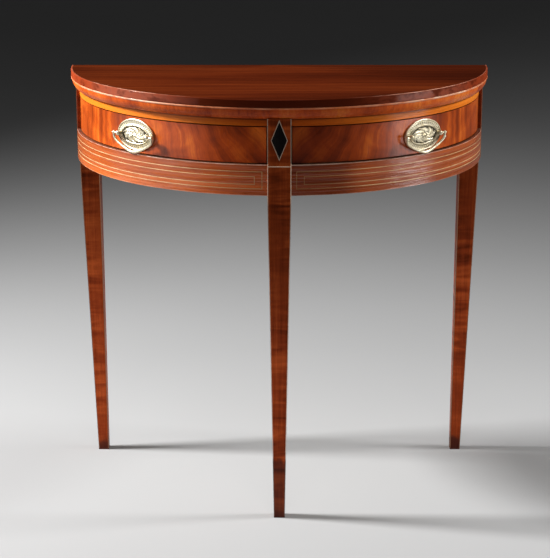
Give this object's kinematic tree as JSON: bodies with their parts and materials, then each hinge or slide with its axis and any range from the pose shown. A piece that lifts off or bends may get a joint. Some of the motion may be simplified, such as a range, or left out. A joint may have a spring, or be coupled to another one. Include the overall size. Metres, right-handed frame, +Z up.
{
  "type": "demilune table",
  "caption": "Half-round side table on square tapered legs, with a moulded top edge, bow-fronted frieze drawers, string inlay and hinged oval bail pulls.",
  "frame": {"origin": "on the floor, under the middle of the table's box", "axes": "+Z up, +X to the right seen from the front, +Y towards the straight back that stands against a wall"},
  "size_m": [0.782, 0.387, 0.76],
  "materials": {
    "top_mahogany": "polished mahogany, dark red-brown",
    "crossbanded_mahogany": "polished cross-grain mahogany",
    "leg_mahogany": "polished mahogany with light curl",
    "apron_mahogany": "polished mahogany veneer",
    "rail_mahogany": "polished straight-grained mahogany, lighter than the rest",
    "core_mahogany": "plain stained mahogany",
    "flame_mahogany": "polished crotch-figured mahogany veneer",
    "satinwood_string": "pale inlaid stringing",
    "ebony": "black inlay, polished",
    "inner_pine": "unfinished, aged",
    "drawer_poplar": "unfinished, aged",
    "brass": "polished stamped and cast brass",
    "iron": "dark iron"
  },
  "bodies": {
    "table_frame": {"back_rail": "inner_pine", "center_guide": "inner_pine", "center_kicker": "inner_pine", "center_runner": "inner_pine", "drawer_stops": "inner_pine", "edge_moulding": "crossbanded_mahogany", "front_leg": "leg_mahogany", "front_leg_stringing": "satinwood_string", "glue_blocks": "inner_pine", "left_apron_band": "apron_mahogany", "left_apron_rail": "core_mahogany", "left_apron_stringing": "satinwood_string", "left_outer_guide": "inner_pine", "left_outer_kicker": "inner_pine", "left_outer_runner": "inner_pine", "left_rear_leg": "leg_mahogany", "left_top_rail": "rail_mahogany", "lozenge_inlay": "ebony", "lozenge_stringing": "satinwood_string", "rear_leg_stringing": "satinwood_string", "right_apron_band": "apron_mahogany", "right_apron_rail": "core_mahogany", "right_apron_stringing": "satinwood_string", "right_outer_guide": "inner_pine", "right_outer_kicker": "inner_pine", "right_outer_runner": "inner_pine", "right_rear_leg": "leg_mahogany", "right_top_rail": "rail_mahogany", "table_top": "top_mahogany", "top_screws": "iron"},
    "left_drawer": {"left_drawer_front": "core_mahogany", "left_drawer_veneer": "flame_mahogany", "left_drawer_inner_side": "drawer_poplar", "left_drawer_outer_side": "drawer_poplar", "left_drawer_back": "drawer_poplar", "left_drawer_bottom": "drawer_poplar", "left_pull_plate": "brass", "left_pull_posts": "brass", "left_pull_nuts": "brass"},
    "left_bail": {"left_bail": "brass"},
    "right_drawer": {"right_drawer_front": "core_mahogany", "right_drawer_veneer": "flame_mahogany", "right_drawer_inner_side": "drawer_poplar", "right_drawer_outer_side": "drawer_poplar", "right_drawer_back": "drawer_poplar", "right_drawer_bottom": "drawer_poplar", "right_pull_plate": "brass", "right_pull_posts": "brass", "right_pull_nuts": "brass"},
    "right_bail": {"right_bail": "brass"}
  },
  "joints": [
    {"name": "left_drawer_slide", "type": "slide", "parent": "table_frame", "child": "left_drawer", "axis": [0, -1, 0], "range_m": [0, 0.2]},
    {"name": "left_bail_swing", "type": "hinge", "parent": "left_drawer", "child": "left_bail", "pos_m": [-0.25682, -0.08798, 0.6795], "axis": [-0.7434, 0.6688, 0], "range_deg": [-8, 170]},
    {"name": "right_drawer_slide", "type": "slide", "parent": "table_frame", "child": "right_drawer", "axis": [0, -1, 0], "range_m": [0, 0.2]},
    {"name": "right_bail_swing", "type": "hinge", "parent": "right_drawer", "child": "right_bail", "pos_m": [0.25682, -0.08798, 0.6795], "axis": [-0.7434, -0.6688, 0], "range_deg": [-8, 170]}
  ]
}
